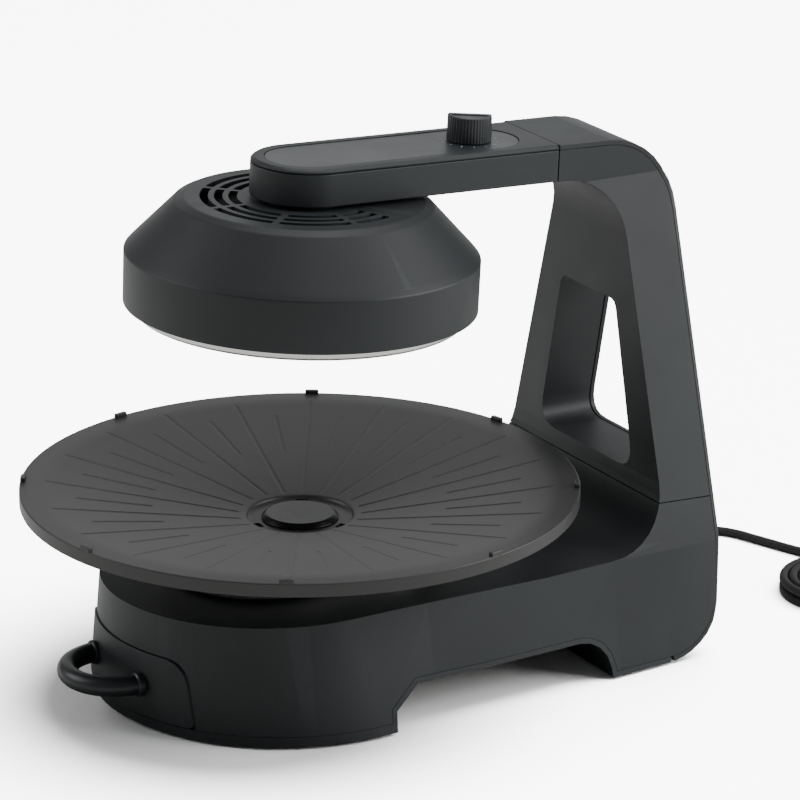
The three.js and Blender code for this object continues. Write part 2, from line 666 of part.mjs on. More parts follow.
function headInside() {
  const [neckTop, neckFoot] = [ARM_LOW - GAP, HEAD.shoulderZ + 1.5];
  const neck = turned([[9.4, neckTop], [26, neckTop], [29, neckFoot], [9.4, neckFoot]], 32);
  place('head_neck', neck, casingBlack, arm);
  place('heat_shield', turned([
    [0, 2], [76, 2], [101, -20], [101, -36], [100, -36], [100, -20.6], [75.6, 1], [0, 1],
  ], 48), zincPlate, arm);
  place('reflector', turned([
    [0, -8], [60, -8], [92, -26], [97, -50], [96, -50], [91, -26.8], [59.7, -9], [0, -9],
  ], 48), stainless, arm);
  const ringPath = arc(0, 0, HEATER_R, 100, 440, 40).map(([x, y]) => [x, y, -30]);
  place('heater_tube', tube(ringPath, 4.5, 8, 36), heaterRed, arm);
  [[-1, 1], [1, 2]].forEach(([side, number]) => {
    const x = side * 6.9;
    const capSolid = box(x - 4.2, x + 4.2, HEATER_R - 7, HEATER_R + 7, -37, -23);
    place(`heater_cap_${number}`, capSolid, ceramic, arm);
  });
  const r = RING.radius;
  const rim = turned([
    [r, RING.bottom], [r + 1.2, RING.bottom + 1.5], [r + 2.4, HEAD.mouthZ + 6], [r + 1.4, HEAD.mouthZ + 6],
    [r + 0.2, RING.bottom + 2], [r - 4.4, RING.bottom + 1.2], [r - 4.4, RING.bottom],
  ], 64);
  const [low, high] = [RING.bottom + 0.2, RING.bottom + 2.2];
  const wires = [28, 52, 76].map((radius) => turned([
    [radius - 1, low], [radius + 1, low], [radius + 1, high], [radius - 1, high],
  ], 24));
  const spokes = [0, 60, 120].map((turn) => box(-r + 2, r - 2, -1.1, 1.1, low + 0.2, high + 0.4)
    .rotate([0, 0, turn]));
  place('head_ring', rim, stainless, arm);
  const guard = join(...wires, ...spokes).intersect(bar(0, 0, -80, -20, r - 4.8, 48));
  place('heater_guard', guard, zincPlate, arm);
}

// ---- Mains cord ---------------------------------------------------------------------------------

function cord() {
  const at = (x, z, radius, from, to) => prism('y', arc(x, z, radius, 0, 337.5, 15), from, to);
  const sleeve = turned([[0, 0], [3.6, 0], [6, 28], [6, 41], [0, 41]], 20);
  const relief = sleeve.rotate([90, 0, 0]).translate([GLAND.x, CORD_ROUTE[0][1] - GAP, GLAND.z]);
  const flange = at(GLAND.x, GLAND.z, 9, BACK_Y + GAP, BACK_Y + 3);
  place('strain_relief', join(relief, flange), rubberBlack);
  place('cord_tube', tube(CORD_ROUTE, CORD_R, 8, 20), rubberBlack);
  place('cord_lead', tube(CORD_LEAD, CORD_R, 8, 5), rubberBlack);
  const { x, y, inner, outer, height } = COIL;
  place('cord_coil', turned([[inner, 0.1], [outer, 0.1], [outer, height], [inner, height]], 40)
    .translate([x, y, 0]), rubberBlack);
  plug();
}

function plug() {
  const { x, y, length, width, thick } = PLUG;
  const body = prism('z', rounded([
    [-length / 2, -5, 2], [-length / 2 + 8, -width / 2, 5], [length / 2, -width / 2, 3],
    [length / 2, width / 2, 3], [-length / 2 + 8, width / 2, 5], [-length / 2, 5, 2],
  ]), 0.2, thick);
  place('plug_body', body.translate([x, y, 0]), rubberBlack);
  [-6, 6].forEach((side, i) => {
    const from = x + length / 2 + GAP;
    const blade = box(from, from + 17, y + side - 0.8, y + side + 0.8, thick / 2 - 3.1, thick / 2 + 3.1);
    place(`plug_blade_${i + 1}`, blade, brass);
  });
}

base();
backCover();
pan();
feet();
columnBracket();
drive();
dripBowl();
turntable();
grillPlate();
drawer();
armCasing();
knob();
headShell();
headInside();
cord();

export default grill;
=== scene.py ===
"""Looks of a far-infrared table grill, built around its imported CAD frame.

Sizes are in millimetres about the turning axis of the grill plate, or, for the arm and the heater
head, about the head's own axis. Two matrices, TABLE and ARM, bring such a shape to its place in
metres. Every finished piece has its place in its mesh and rides on one body of the frame.
"""

import json
import logging
import math
from dataclasses import dataclass
from enum import Enum
from typing import Sequence

import bmesh
import bpy
from mathutils import Matrix, Vector


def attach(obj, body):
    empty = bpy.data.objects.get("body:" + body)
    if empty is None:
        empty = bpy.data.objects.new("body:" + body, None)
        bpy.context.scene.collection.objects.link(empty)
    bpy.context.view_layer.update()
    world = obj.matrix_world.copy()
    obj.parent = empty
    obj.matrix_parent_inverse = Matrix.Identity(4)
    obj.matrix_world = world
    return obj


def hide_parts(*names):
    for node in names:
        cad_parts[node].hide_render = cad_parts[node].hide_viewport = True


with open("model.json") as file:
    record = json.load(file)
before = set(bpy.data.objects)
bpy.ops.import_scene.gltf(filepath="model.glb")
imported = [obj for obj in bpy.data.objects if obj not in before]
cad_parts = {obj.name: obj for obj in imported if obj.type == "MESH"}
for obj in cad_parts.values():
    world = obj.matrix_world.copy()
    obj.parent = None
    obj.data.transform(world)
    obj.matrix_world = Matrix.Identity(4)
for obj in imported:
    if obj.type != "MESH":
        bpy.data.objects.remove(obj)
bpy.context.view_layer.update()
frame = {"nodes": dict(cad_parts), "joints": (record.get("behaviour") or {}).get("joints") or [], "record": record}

log = logging.getLogger("table_grill")

MM = 0.001
Profile = Sequence[tuple[float, float]]


# ---- Frames ----------------------------------------------------------------------------------


def joint(name: str) -> dict:
    """Returns the joint of that name from the frame."""
    return next(found for found in frame["joints"] if found["name"] == name)


PLATE_AXIS = Vector(joint("turntable_spin")["pos_m"])
TIMER_AXIS = Vector(joint("timer_turn")["axis"])
ARM_RISE = math.atan2(TIMER_AXIS.y, TIMER_AXIS.z)
ARM_ORIGIN = (0.0, 3.4, 304.3)
TABLE = Matrix.Translation((PLATE_AXIS.x, PLATE_AXIS.y, 0.0)) @ Matrix.Scale(MM, 4)
ARM = TABLE @ Matrix.Translation(ARM_ORIGIN) @ Matrix.Rotation(-ARM_RISE, 4, "X")
IN_PLACE = Matrix.Identity(4)


def body_of(node: str) -> str:
    """Returns the body that a CAD node belongs to."""
    groups = frame["record"]["behaviour"]["bodies"]
    return next(body for body, members in groups.items() if node in members)


# ---- Finishes --------------------------------------------------------------------------------


def linear(code: str) -> tuple[float, float, float, float]:
    """Turns an sRGB hex colour to linear light.

    Args:
        code: Six hex digits.

    Returns:
        Red, green, blue and an alpha of one.
    """
    parts = [int(code[i : i + 2], 16) / 255 for i in (0, 2, 4)]
    light = [p / 12.92 if p <= 0.04045 else ((p + 0.055) / 1.055) ** 2.4 for p in parts]
    return (*light, 1.0)


def add_node(
    tree: bpy.types.NodeTree,
    kind: str,
    values: dict | None = None,
    feeds: dict | None = None,
    **settings: object,
) -> bpy.types.Node:
    """Adds a node with its settings, socket values and incoming links.

    Args:
        tree: The node tree that takes the node.
        kind: The node's type.
        values: Socket values by input name or number.
        feeds: Output sockets by the input that they lead to.
        **settings: Properties of the node itself.

    Returns:
        The new node.
    """
    node = tree.nodes.new(kind)
    for name, value in settings.items():
        setattr(node, name, value)
    for socket, value in (values or {}).items():
        node.inputs[socket].default_value = value
    for socket, source in (feeds or {}).items():
        tree.links.new(source, node.inputs[socket])
    return node


@dataclass(frozen=True)
class Finish:
    """One real material and the way its surface was made.

    grain, patch and fleck sizes are real sizes in millimetres, and relief is the grain's height.
    drawn stretches the grain along X, Y and Z, as drawing or brushing does.
    """

    colour: str
    shade: str
    roughness: float
    spread: float
    grain: float
    relief: float
    patch: float = 70.0
    metallic: float = 0.0
    ior: float = 1.5
    gloss: float = 0.5
    coat: float = 0.0
    glass: float = 0.0
    fleck: str = ""
    fleck_size: float = 1.0
    fleck_share: float = 0.0
    # A paler colour painted on convex edges as a highlight.
    edge_highlight: str = ""
    drawn: tuple[float, float, float] = (1.0, 1.0, 1.0)

    def material(self, title: str) -> bpy.types.Material:
        """Builds the node material.

        Args:
            title: The material's name.

        Returns:
            The material.
        """
        made = bpy.data.materials.new(title)
        made.use_nodes = True
        made.diffuse_color = linear(self.colour)
        tree = made.node_tree
        tree.nodes.clear()
        place = add_node(tree, "ShaderNodeTexCoord").outputs["Object"]
        stretched = add_node(tree, "ShaderNodeMapping", {"Scale": self.drawn}, {"Vector": place})
        grain = add_node(
            tree, "ShaderNodeTexNoise",
            {"Scale": 1 / (self.grain * MM), "Detail": 3.0, "Roughness": 0.6},
            {"Vector": stretched.outputs["Vector"]},
        ).outputs["Fac"]
        patch = add_node(
            tree, "ShaderNodeTexNoise",
            {"Scale": 1 / (self.patch * MM), "Detail": 4.0, "Roughness": 0.55},
            {"Vector": place},
        ).outputs["Fac"]
        mottle = add_node(
            tree, "ShaderNodeMath", {1: 0.35}, {0: grain, 2: patch},
            operation="MULTIPLY_ADD",
        ).outputs[0]
        share = add_node(
            tree, "ShaderNodeMapRange", {"From Min": 0.45, "From Max": 0.9}, {"Value": mottle}
        ).outputs["Result"]
        colour = self._mix(tree, share, linear(self.colour), linear(self.shade))
        if self.fleck:
            colour = self._flecked(tree, place, colour)
        # Convex edges get a painted highlight in a paler colour.
        if self.edge_highlight:
            colour = self._edge_highlighted(tree, grain, colour)
        rough = add_node(
            tree, "ShaderNodeMapRange",
            {
                "From Min": 0.5, "From Max": 0.95,
                "To Min": self.roughness - self.spread, "To Max": self.roughness + self.spread,
            },
            {"Value": mottle},
        ).outputs["Result"]
        bump = add_node(
            tree, "ShaderNodeBump", {"Strength": 1.0, "Distance": self.relief * MM},
            {"Height": grain},
        ).outputs["Normal"]
        shader = add_node(
            tree, "ShaderNodeBsdfPrincipled",
            {
                "Metallic": self.metallic, "IOR": self.ior, "Specular IOR Level": self.gloss,
                "Coat Weight": self.coat, "Coat Roughness": 0.12,
                "Transmission Weight": self.glass,
            },
            {"Base Color": colour, "Roughness": rough, "Normal": bump},
        )
        add_node(tree, "ShaderNodeOutputMaterial", feeds={"Surface": shader.outputs["BSDF"]})
        return made

    @staticmethod
    def _mix(
        tree: bpy.types.NodeTree, share: bpy.types.NodeSocket, first: object, second: tuple
    ) -> bpy.types.NodeSocket:
        """Mixes a colour, plain or from a socket, with a second one by a share."""
        node = add_node(tree, "ShaderNodeMix", {7: second}, {0: share}, data_type="RGBA")
        if isinstance(first, bpy.types.NodeSocket):
            tree.links.new(first, node.inputs[6])
        else:
            node.inputs[6].default_value = first
        return node.outputs[2]

    def _flecked(
        self, tree: bpy.types.NodeTree, place: bpy.types.NodeSocket, under: bpy.types.NodeSocket
    ) -> bpy.types.NodeSocket:
        """Sprinkles small paler flecks of uneven size over a colour."""
        cells = add_node(
            tree, "ShaderNodeTexVoronoi",
            {"Scale": 1 / (self.fleck_size * MM), "Randomness": 1.0}, {"Vector": place},
        )
        pick = add_node(
            tree, "ShaderNodeSeparateColor", feeds={"Color": cells.outputs["Color"]}
        ).outputs["Red"]
        size = add_node(
            tree, "ShaderNodeMapRange",
            {"From Min": 1 - self.fleck_share, "From Max": 1.0, "To Min": 0.0, "To Max": 0.42},
            {"Value": pick},
        ).outputs["Result"]
        inside = add_node(
            tree, "ShaderNodeMath", feeds={0: cells.outputs["Distance"], 1: size},
            operation="LESS_THAN",
        ).outputs[0]
        return self._mix(tree, inside, under, linear(self.fleck))

    def _edge_highlighted(
        self, tree: bpy.types.NodeTree, grain: bpy.types.NodeSocket, under: bpy.types.NodeSocket
    ) -> bpy.types.NodeSocket:
        """Paints the outer edges a little paler: a painted highlight where they would catch the light."""
        edge = add_node(tree, "ShaderNodeNewGeometry").outputs["Pointiness"]
        raised = add_node(
            tree, "ShaderNodeMapRange",
            {"From Min": 0.505, "From Max": 0.56, "To Min": 0.0, "To Max": 0.7}, {"Value": edge},
        ).outputs["Result"]
        lit_edges = add_node(
            tree, "ShaderNodeMath", feeds={0: raised, 1: grain}, operation="MULTIPLY"
        ).outputs[0]
        return self._mix(tree, lit_edges, under, linear(self.edge_highlight))


class Look(Enum):
    """The finishes of this grill, each with the record's material slot that it belongs to."""

    # Moulded ABS from a spark-eroded tool: a dull charcoal with a fine even pimple. The real
    # pimple is 0.3 mm across and is drawn at 0.9 mm, so that it shows.
    # Its outer edges carry a painted highlight in a paler colour.
    CASING_ABS = ("casing", Finish(
        "191d1f", "16191b", 0.52, 0.05, 0.9, 0.02, patch=90, gloss=0.34, edge_highlight="33383a"))
    # The same ABS from a smoother tool, on the handle and the knob.
    # Its outer edges carry a painted highlight in a paler colour.
    KNOB_ABS = ("inlay", Finish(
        "16191b", "131618", 0.4, 0.05, 0.7, 0.008, patch=40, gloss=0.4, edge_highlight="3a4044"))
    # Hard-coated polycarbonate sheet: satin, a touch smoother than the casing round it.
    INLAY_SHEET = ("inlay", Finish(
        "23292b", "1f2427", 0.4, 0.04, 0.6, 0.006, patch=60, gloss=0.4))
    # Enamelled steel cap over the hub: smooth, and a little shinier than the plate round it.
    CAP_ENAMEL = ("inlay", Finish(
        "0b0c0d", "090a0b", 0.3, 0.04, 1.6, 0.01, patch=30, gloss=0.14, coat=0.03))
    # Sprayed and baked non-stick coating over a cast plate: matte, slightly rough, with a sand
    # of paler mineral flecks 0.4 mm across, drawn at 1.3 mm.
    # Its outer edges carry a painted highlight in a paler colour.
    PLATE_COATING = ("plate_coating", Finish(
        "0e1112", "0b0e0f", 0.66, 0.07, 0.8, 0.03, patch=50, gloss=0.08,
        fleck="343b3d", fleck_size=1.3, fleck_share=0.55, edge_highlight="34393a"))
    # Pressed stainless steel, rolled bright: fine lines along the sheet.
    STAINLESS = ("stainless", Finish(
        "b8b8b4", "a5a6a3", 0.2, 0.06, 0.5, 0.004, patch=30, metallic=1.0,
        drawn=(1.0, 0.06, 1.0)))
    # Zinc plated pressed steel: a soft crystalline grey sheen.
    ZINC = ("zinc_plate", Finish(
        "a4a6a8", "8c9093", 0.38, 0.08, 1.2, 0.006, patch=14, metallic=1.0))
    # Steel behind the vents, given a dark and dull finish.
    DARK_STEEL = ("zinc_plate", Finish(
        "1c1d1e", "121314", 0.62, 0.1, 1.0, 0.01, patch=25, metallic=0.4))
    # Soft PVC and rubber: deep black, dull, with a faint bloom.
    RUBBER = ("rubber", Finish(
        "141516", "1a1b1c", 0.62, 0.08, 0.6, 0.01, patch=20, ior=1.52, gloss=0.4))
    # Pressed steatite: chalky cream.
    STEATITE = ("insulator", Finish("ded7c8", "cdc5b5", 0.6, 0.08, 0.8, 0.02, patch=12))
    # Ruby quartz heater tube: dark red glass over a coiled wire.
    RUBY_QUARTZ = ("heater", Finish(
        "7a2f1c", "5f2316", 0.16, 0.04, 2.0, 0.004, patch=18, ior=1.46, glass=0.35))
    # Drawn and polished brass.
    BRASS = ("brass", Finish(
        "c9a253", "b08a43", 0.24, 0.05, 0.4, 0.003, patch=8, metallic=1.0,
        drawn=(0.08, 1.0, 1.0)))
    # Screen-printed epoxy ink: pale grey, slightly chalky.
    DIAL_INK = ("inlay", Finish("9aa0a2", "8a9092", 0.55, 0.05, 0.3, 0.002, patch=6))

    @property
    def slot(self) -> str:
        """The record's material slot."""
        return self.value[0]

    def material(self) -> bpy.types.Material:
        """Returns this finish's one material, and builds it the first time."""
        title = self.name.lower()
        return bpy.data.materials.get(title) or self.value[1].material(title)


# ---- Shapes ----------------------------------------------------------------------------------


class Join(Enum):
    """The ways to combine two solids."""

    CUT = "DIFFERENCE"
    WELD = "UNION"


def filleted(corners: Sequence[tuple[float, float, float]], steps: int = 5) -> Profile:
    """Rounds the corners of an open profile.

    Args:
        corners: Each corner's radius from the axis, its height and its fillet's reach.
        steps: The number of edges in each fillet.

    Returns:
        The profile's points.
    """
    points: list[tuple[float, float]] = []
    for i, (r, z, reach) in enumerate(corners):
        here = Vector((r, z))
        if reach <= 0 or i in (0, len(corners) - 1):
            points.append((r, z))
            continue
        ends = []
        for near in (corners[i - 1], corners[i + 1]):
            way = Vector(near[:2]) - here
            ends.append(here + way.normalized() * min(reach, way.length * 0.49))
        for k in range(steps + 1):
            t = k / steps
            spot = ends[0] * (1 - t) ** 2 + here * 2 * t * (1 - t) + ends[1] * t**2
            points.append((spot.x, spot.y))
    return points


def spun(profile: Profile, steps: int = 96) -> bmesh.types.BMesh:
    """Spins a profile of radius and height about Z, and closes it if it stays off the axis."""
    shape = bmesh.new()
    points = [shape.verts.new((r, 0.0, z)) for r, z in profile]
    if profile[0][0] > 0:
        points.append(points[0])
    edges = [shape.edges.new(pair) for pair in zip(points, points[1:])]
    bmesh.ops.spin(
        shape, geom=list(shape.verts) + edges, cent=(0, 0, 0), axis=(0, 0, 1), dvec=(0, 0, 0),
        angle=math.tau, steps=steps, use_merge=True,
    )
    bmesh.ops.remove_doubles(shape, verts=shape.verts, dist=1e-4)
    bmesh.ops.recalc_face_normals(shape, faces=shape.faces)
    return shape


def block(low: Sequence[float], high: Sequence[float], edge: float = 0.0) -> bmesh.types.BMesh:
    """Makes a block between two corners, with its edges rounded by `edge`."""
    shape = bmesh.new()
    low, high = Vector(low), Vector(high)
    size = Matrix.Diagonal((*(high - low), 1.0))
    bmesh.ops.create_cube(shape, size=1.0, matrix=Matrix.Translation((low + high) / 2) @ size)
    if edge > 0:
        bmesh.ops.bevel(
            shape, geom=shape.edges[:], offset=edge, offset_type="OFFSET", segments=3,
            profile=0.5, affect="EDGES", clamp_overlap=True, material=-1,
        )
    return shape


def moved(shape: bmesh.types.BMesh, matrix: Matrix) -> bmesh.types.BMesh:
    """Moves a whole shape, and returns it."""
    bmesh.ops.transform(shape, matrix=matrix, verts=shape.verts)
    return shape


def turned(degrees: float, axis: str = "Z") -> Matrix:
    """Returns the turn about an axis through the origin."""
    return Matrix.Rotation(math.radians(degrees), 4, axis)


def gathered(shapes: Sequence[bmesh.types.BMesh]) -> bmesh.types.BMesh:
    """Puts several shapes in one, and frees them."""
    whole = bmesh.new()
    for shape in shapes:
        carrier = bpy.data.meshes.new("carrier")
        shape.to_mesh(carrier)
        shape.free()
        whole.from_mesh(carrier)
        bpy.data.meshes.remove(carrier)
    return whole


def combined(
    body: bmesh.types.BMesh, tool: bmesh.types.BMesh, how: Join = Join.CUT
) -> bmesh.types.BMesh:
    """Cuts a tool from a body, or welds it on.

    Args:
        body: The solid that stays. It is used up.
        tool: The solid that cuts or joins it. It is used up.
        how: Whether to cut or weld.

    Returns:
        The new solid.
    """
    pair = []
    for shape in (body, tool):
        mesh = bpy.data.meshes.new("blank")
        shape.to_mesh(mesh)
        shape.free()
        blank = bpy.data.objects.new("blank", mesh)
        bpy.context.scene.collection.objects.link(blank)
        pair.append(blank)
    change = pair[0].modifiers.new("combine", "BOOLEAN")
    change.object, change.operation, change.solver = pair[1], how.value, "EXACT"
    solved = pair[0].evaluated_get(bpy.context.evaluated_depsgraph_get())
    result = bmesh.new()
    result.from_mesh(solved.to_mesh())
    solved.to_mesh_clear()
    for blank in pair:
        mesh = blank.data
        bpy.data.objects.remove(blank)
        bpy.data.meshes.remove(mesh)
    return result


@dataclass(frozen=True)
class Edging:
    """How edges are rounded: width in millimetres, least angle, and whether flats are levelled."""

    width: float = 0.0
    from_angle: float = 28.0
    segments: int = 3
    levelled: bool = True


def finished(
    shape: bmesh.types.BMesh,
    name: str,
    look: Look,
    body: str,
    place: Matrix = IN_PLACE,
    stands_for: Sequence[str] = (),
    edging: Edging = Edging(),
) -> bpy.types.Object:
    """Makes a shape a finished piece of the grill.

    Args:
        shape: The shape, which is used up.
        name: The piece's name.
        look: Its finish.
        body: The body that it rides on.
        place: The matrix that brings the shape to its place in metres.
        stands_for: The CAD nodes that it replaces.
        edging: How its edges are rounded.

    Returns:
        The piece.
    """
    moved(shape, place)
    mesh = bpy.data.meshes.new(name)
    shape.to_mesh(mesh)
    shape.free()
    mesh.shade_smooth()
    mesh.set_sharp_from_angle(angle=math.radians(edging.from_angle))
    mesh.materials.append(look.material())
    piece = bpy.data.objects.new(name, mesh)
    bpy.context.scene.collection.objects.link(piece)
    if edging.width > 0:
        rounding = piece.modifiers.new("edges", "BEVEL")
        rounding.width = edging.width * MM
        rounding.segments = edging.segments
        rounding.limit_method = "ANGLE"
        rounding.angle_limit = math.radians(edging.from_angle)
        rounding.harden_normals = True
    if edging.levelled:
        leveller = piece.modifiers.new("flats", "WEIGHTED_NORMAL")
        leveller.keep_sharp = True
    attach(piece, body)
    look.slot
    if stands_for:
        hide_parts(*stands_for)
    log.info("%s: %d faces on %s in %s", name, len(mesh.polygons), body, look.name.lower())
    return piece


def refined(node: str, name: str, look: Look, edging: Edging) -> bpy.types.Object:
    """Makes a finer piece from a CAD node: its flats are merged and its edges rounded.

    Args:
        node: The CAD node that it is copied from and replaces.
        name: The piece's name.
        look: Its finish.
        edging: How its edges are rounded.

    Returns:
        The piece.
    """
    shape = bmesh.new()
    shape.from_mesh(frame["nodes"][node].data)
    bmesh.ops.remove_doubles(shape, verts=shape.verts, dist=0.01 * MM)
    bmesh.ops.dissolve_limit(
        shape, angle_limit=math.radians(0.6), use_dissolve_boundaries=False,
        verts=shape.verts[:], edges=shape.edges[:], delimit=set(),
    )
    return finished(
        shape, name, look, body_of(node), stands_for=(node,), edging=edging
    )


# ---- Camera, floor and light -----------------------------------------------------------------


@dataclass(frozen=True)
class Studio:
    """A pale floor under soft daylight lamps, and the camera."""

    camera_spot: tuple[float, float, float] = (2.3282, -1.30954, 1.09149)
    camera_way: tuple[float, float, float] = (-0.819529, 0.473346, -0.32298)
    camera_roll: float = 0.179
    lens: float = 197.7
    floor_size: float = 60.0
    floor_bounce: str = "686867"
    room_light: float = 0.2
    backdrop: float = 14.0
    wash_strength: float = 27.0
    wash_spread: float = 55.0
    wash_way: tuple[float, float, float] = (0.1, -0.45, -1.0)
    # Each softbox: name, power in watts, width and height, and place, in metres.
    softboxes: tuple[tuple[str, float, tuple[float, float], tuple[float, float, float]], ...] = (
        ("right_box", 85.0, (1.8, 1.6), (1.37, 1.98, 1.2)),
        ("left_box", 30.0, (1.6, 1.4), (-1.37, -1.98, 1.5)),
        ("top_box", 50.0, (2.2, 2.2), (-0.2, 0.5, 2.6)),
        ("back_box", 20.0, (4.0, 2.0), (-3.0, 1.8, 1.3)),
    )

    def make_camera(self) -> None:
        """Places the camera and makes it the scene's."""
        data = bpy.data.cameras.new("camera")
        data.lens, data.sensor_width = self.lens, 36.0
        data.clip_start, data.clip_end = 0.05, 200.0
        camera = bpy.data.objects.new("camera", data)
        bpy.context.scene.collection.objects.link(camera)
        aim = Vector(self.camera_way).to_track_quat("-Z", "Y")
        roll = Matrix.Rotation(math.radians(self.camera_roll), 4, "Z")
        camera.matrix_world = (
            Matrix.Translation(self.camera_spot) @ aim.to_matrix().to_4x4() @ roll
        )
        bpy.context.scene.camera = camera

    def make_floor(self) -> bpy.types.Object:
        """Lays a pale seamless floor, and returns it."""
        shape = bmesh.new()
        bmesh.ops.create_grid(shape, x_segments=8, y_segments=8, size=self.floor_size / 2)
        mesh = bpy.data.meshes.new("floor")
        shape.to_mesh(mesh)
        shape.free()
        paper = bpy.data.materials.new("floor_paper")
        paper.use_nodes = True
        tree = paper.node_tree
        tree.nodes.clear()
        place = add_node(tree, "ShaderNodeTexCoord").outputs["Object"]
        mottle = add_node(
            tree, "ShaderNodeTexNoise", {"Scale": 1.5, "Detail": 2.0}, {"Vector": place}
        ).outputs["Fac"]
        rough = add_node(
            tree, "ShaderNodeMapRange", {"To Min": 0.8, "To Max": 0.95}, {"Value": mottle}
        ).outputs["Result"]
        seen = add_node(tree, "ShaderNodeLightPath").outputs["Is Camera Ray"]
        tone = add_node(
            tree, "ShaderNodeMix", {6: linear(self.floor_bounce), 7: linear("fdfdfc")}, {0: seen},
            data_type="RGBA",
        ).outputs[2]
        shader = add_node(
            tree, "ShaderNodeBsdfPrincipled", {"Specular IOR Level": 0.1},
            {"Base Color": tone, "Roughness": rough},
        )
        add_node(tree, "ShaderNodeOutputMaterial", feeds={"Surface": shader.outputs["BSDF"]})
        mesh.materials.append(paper)
        floor = bpy.data.objects.new("floor", mesh)
        bpy.context.scene.collection.objects.link(floor)
        return floor

    def make_room(self) -> None:
        """Lights the room evenly and dimly, with a pale backdrop far off."""
        world = bpy.data.worlds.new("room")
        bpy.context.scene.world = world
        world.use_nodes = True
        tree = world.node_tree
        tree.nodes.clear()
        seen = add_node(tree, "ShaderNodeLightPath").outputs["Is Camera Ray"]
        strength = add_node(
            tree, "ShaderNodeMapRange", {"To Min": self.room_light, "To Max": self.backdrop},
            {"Value": seen},
        ).outputs["Result"]
        room = add_node(
            tree, "ShaderNodeBackground", {"Color": linear("f6f8fa")}, {"Strength": strength}
        )
        add_node(tree, "ShaderNodeOutputWorld", feeds={"Surface": room.outputs[0]})

    def make_lights(self, floor: bpy.types.Object) -> None:
        """Hangs the softboxes round the grill, and the wash that only the floor takes.

        Args:
            floor: The floor.
        """
        for title, power, size, spot in self.softboxes:
            lamp = bpy.data.lights.new(title, "AREA")
            lamp.energy, lamp.shape = power, "RECTANGLE"
            lamp.size, lamp.size_y = size
            self.hang(lamp, spot, Vector((0, 0, 0.2)) - Vector(spot))
        wash = bpy.data.lights.new("floor_wash", "SUN")
        wash.energy, wash.angle = self.wash_strength, math.radians(self.wash_spread)
        hung = self.hang(wash, (0, 0, 3), self.wash_way)
        taker = bpy.data.collections.new("floor_only")
        taker.objects.link(floor)
        hung.light_linking.receiver_collection = taker

    @staticmethod
    def hang(lamp: bpy.types.Light, spot: Sequence[float], way: Sequence[float]) -> object:
        """Hangs a lamp at a spot, facing along a way, and returns its object."""
        hung = bpy.data.objects.new(lamp.name, lamp)
        hung.location = spot
        hung.rotation_euler = Vector(way).to_track_quat("-Z", "Y").to_euler()
        bpy.context.scene.collection.objects.link(hung)
        return hung


# ---- Mains cord ------------------------------------------------------------------------------


